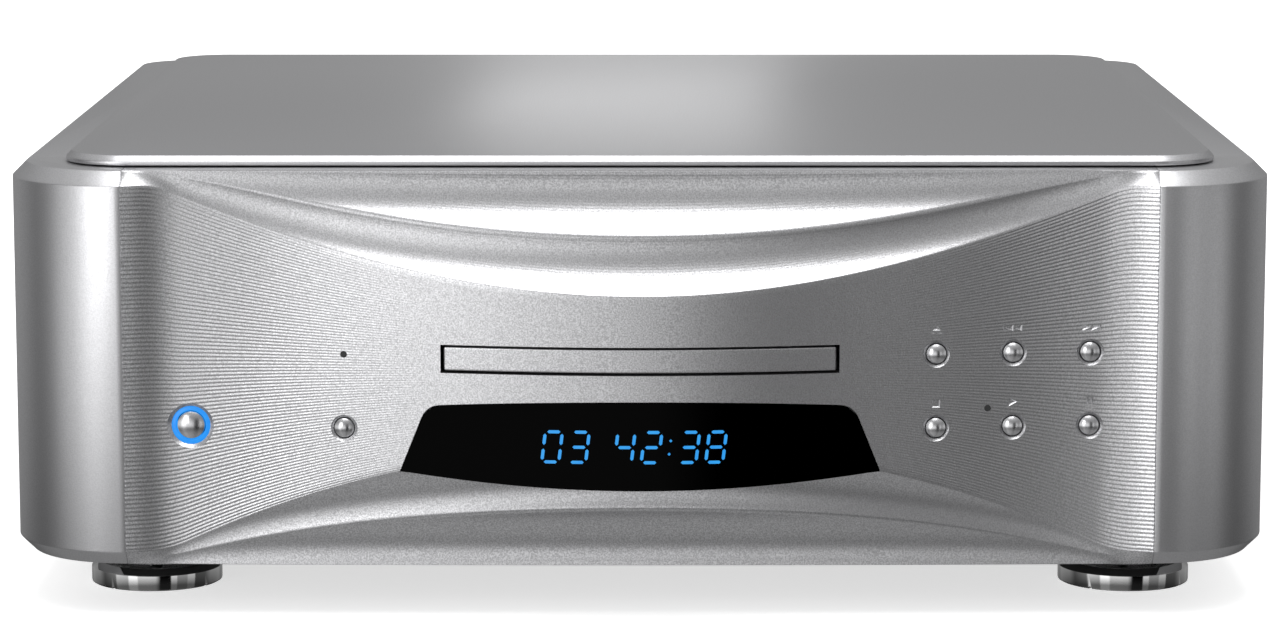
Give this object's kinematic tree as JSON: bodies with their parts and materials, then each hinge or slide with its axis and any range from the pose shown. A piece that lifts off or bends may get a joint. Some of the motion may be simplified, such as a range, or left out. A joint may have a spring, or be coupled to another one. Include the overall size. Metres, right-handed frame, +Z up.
{
  "type": "disc player",
  "caption": "Disc player with a sculpted aluminium front, sliding disc tray, numeric display window, sprung domed buttons, floating top plate and saucer feet.",
  "frame": {"origin": "on the standing surface, under the centre of the bounding box", "axes": "+Z up, the front panel faces -Y, +X to the right as seen from the front"},
  "size_m": [0.445, 0.447, 0.162],
  "materials": {
    "black_glass": "high gloss, black",
    "black_paint": "satin black",
    "black_plastic": "moulded",
    "blue_light": "lit light guide",
    "board_green": "solder mask on glass fibre",
    "dark_tray": "moulded, fine grain",
    "display_glass": "vacuum display behind glass",
    "gold_plate": "gold plated",
    "knurled_steel": "diamond knurled",
    "lamp_lens": "clear lens",
    "lens_glass": "coated lens",
    "nickel_plate": "nickel plated",
    "panel_aluminium": "satin, clear anodised",
    "polished_steel": "polished",
    "rubber": "matt",
    "satin_aluminium": "bead blasted, fine machined lines, clear anodised",
    "white_acetal": "moulded gear plastic",
    "zinc_steel": "zinc plated sheet"
  },
  "bodies": {
    "casing": {"audio_boards": "board_green", "balanced_sockets": "black_plastic", "bottom_plate": "black_paint", "capacitor_bank": "black_plastic", "case_screws": "black_paint", "clamp_bridge": "zinc_steel", "clock_socket": "nickel_plate", "digital_board": "board_green", "display_module": "display_glass", "display_window": "black_glass", "foot_collars": "knurled_steel", "foot_saucers": "polished_steel", "foot_spikes": "zinc_steel", "front_fascia": "satin_aluminium", "front_subframe": "zinc_steel", "ground_terminal": "gold_plate", "indicator_lamps": "lamp_lens", "isolation_bushes": "rubber", "left_front_corner": "satin_aluminium", "left_side_panel": "panel_aluminium", "left_switch_board": "board_green", "light_ring": "blue_light", "mains_inlet": "black_plastic", "mechanism_base": "black_plastic", "mechanism_pillars": "zinc_steel", "optical_port": "black_plastic", "phono_sockets": "gold_plate", "power_supply_board": "board_green", "power_transformers": "black_paint", "rear_panel": "black_paint", "right_front_corner": "satin_aluminium", "right_side_panel": "panel_aluminium", "right_switch_board": "board_green", "top_deck": "panel_aluminium", "top_plate": "panel_aluminium", "top_plate_spacers": "rubber", "tray_belt": "rubber", "tray_motor": "zinc_steel"},
    "tray": {"disc_tray": "dark_tray", "tray_door": "satin_aluminium", "tray_rack": "white_acetal"},
    "pinion": {"tray_pinion": "white_acetal"},
    "motor_pulley": {"motor_pulley": "nickel_plate"},
    "traverse": {"traverse_frame": "zinc_steel", "spindle_motor": "zinc_steel", "guide_rods": "polished_steel", "sled_motor": "zinc_steel"},
    "spindle": {"turntable": "black_plastic"},
    "clamp": {"disc_clamp": "black_plastic"},
    "sled": {"pickup_sled": "nickel_plate", "pickup_lens": "lens_glass"},
    "lead_screw": {"lead_screw": "nickel_plate"},
    "standby_button": {"standby_button": "satin_aluminium"},
    "mode_button": {"mode_button": "satin_aluminium"},
    "eject_button": {"eject_button": "satin_aluminium"},
    "previous_button": {"previous_button": "satin_aluminium"},
    "next_button": {"next_button": "satin_aluminium"},
    "stop_button": {"stop_button": "satin_aluminium"},
    "play_button": {"play_button": "satin_aluminium"},
    "pause_button": {"pause_button": "satin_aluminium"}
  },
  "joints": [
    {"name": "tray_slide", "type": "slide", "parent": "casing", "child": "tray", "axis": [0, -1, 0], "range_m": [0, 0.145]},
    {"name": "pinion_spin", "type": "hinge", "parent": "casing", "child": "pinion", "pos_m": [0.046, -0.1635, 0.09], "axis": [0, 0, 1], "range_deg": [-1040, 0]},
    {"name": "motor_pulley_spin", "type": "hinge", "parent": "casing", "child": "motor_pulley", "pos_m": [0.008, -0.1635, 0.075], "axis": [0, 0, 1], "range_deg": [-4320, 0]},
    {"name": "traverse_tilt", "type": "hinge", "parent": "casing", "child": "traverse", "pos_m": [0, -0.0515, 0.084], "axis": [1, 0, 0], "range_deg": [0, 3.7]},
    {"name": "spindle_spin", "type": "hinge", "parent": "traverse", "child": "spindle", "pos_m": [0, -0.1375, 0.084], "axis": [0, 0, 1], "continuous": true},
    {"name": "clamp_spin", "type": "hinge", "parent": "casing", "child": "clamp", "pos_m": [0, -0.1375, 0.1], "axis": [0, 0, 1], "continuous": true},
    {"name": "sled_slide", "type": "slide", "parent": "traverse", "child": "sled", "axis": [0, 1, 0], "range_m": [0, 0.034]},
    {"name": "lead_screw_spin", "type": "hinge", "parent": "traverse", "child": "lead_screw", "pos_m": [-0.01, -0.1215, 0.084], "axis": [0, 1, 0], "range_deg": [0, 4085]},
    {"name": "standby_press", "type": "slide", "parent": "casing", "child": "standby_button", "axis": [0, 1, 0], "range_m": [0, 0.001], "stiffness_N_per_m": 900, "springref_m": -0.0005},
    {"name": "mode_press", "type": "slide", "parent": "casing", "child": "mode_button", "axis": [0, 1, 0], "range_m": [0, 0.001], "stiffness_N_per_m": 900, "springref_m": -0.0005},
    {"name": "eject_press", "type": "slide", "parent": "casing", "child": "eject_button", "axis": [0, 1, 0], "range_m": [0, 0.001], "stiffness_N_per_m": 900, "springref_m": -0.0005},
    {"name": "previous_press", "type": "slide", "parent": "casing", "child": "previous_button", "axis": [0, 1, 0], "range_m": [0, 0.001], "stiffness_N_per_m": 900, "springref_m": -0.0005},
    {"name": "next_press", "type": "slide", "parent": "casing", "child": "next_button", "axis": [0, 1, 0], "range_m": [0, 0.001], "stiffness_N_per_m": 900, "springref_m": -0.0005},
    {"name": "stop_press", "type": "slide", "parent": "casing", "child": "stop_button", "axis": [0, 1, 0], "range_m": [0, 0.001], "stiffness_N_per_m": 900, "springref_m": -0.0005},
    {"name": "play_press", "type": "slide", "parent": "casing", "child": "play_button", "axis": [0, 1, 0], "range_m": [0, 0.001], "stiffness_N_per_m": 900, "springref_m": -0.0005},
    {"name": "pause_press", "type": "slide", "parent": "casing", "child": "pause_button", "axis": [0, 1, 0], "range_m": [0, 0.001], "stiffness_N_per_m": 900, "springref_m": -0.0005}
  ],
  "couplings": [
    {"joint": "pinion_spin", "follows": "tray_slide", "rad_per_m": -125},
    {"joint": "motor_pulley_spin", "follows": "tray_slide", "rad_per_m": -519.23},
    {"joint": "clamp_spin", "follows": "spindle_spin", "ratio": 1},
    {"joint": "lead_screw_spin", "follows": "sled_slide", "rad_per_m": 2094.4}
  ]
}
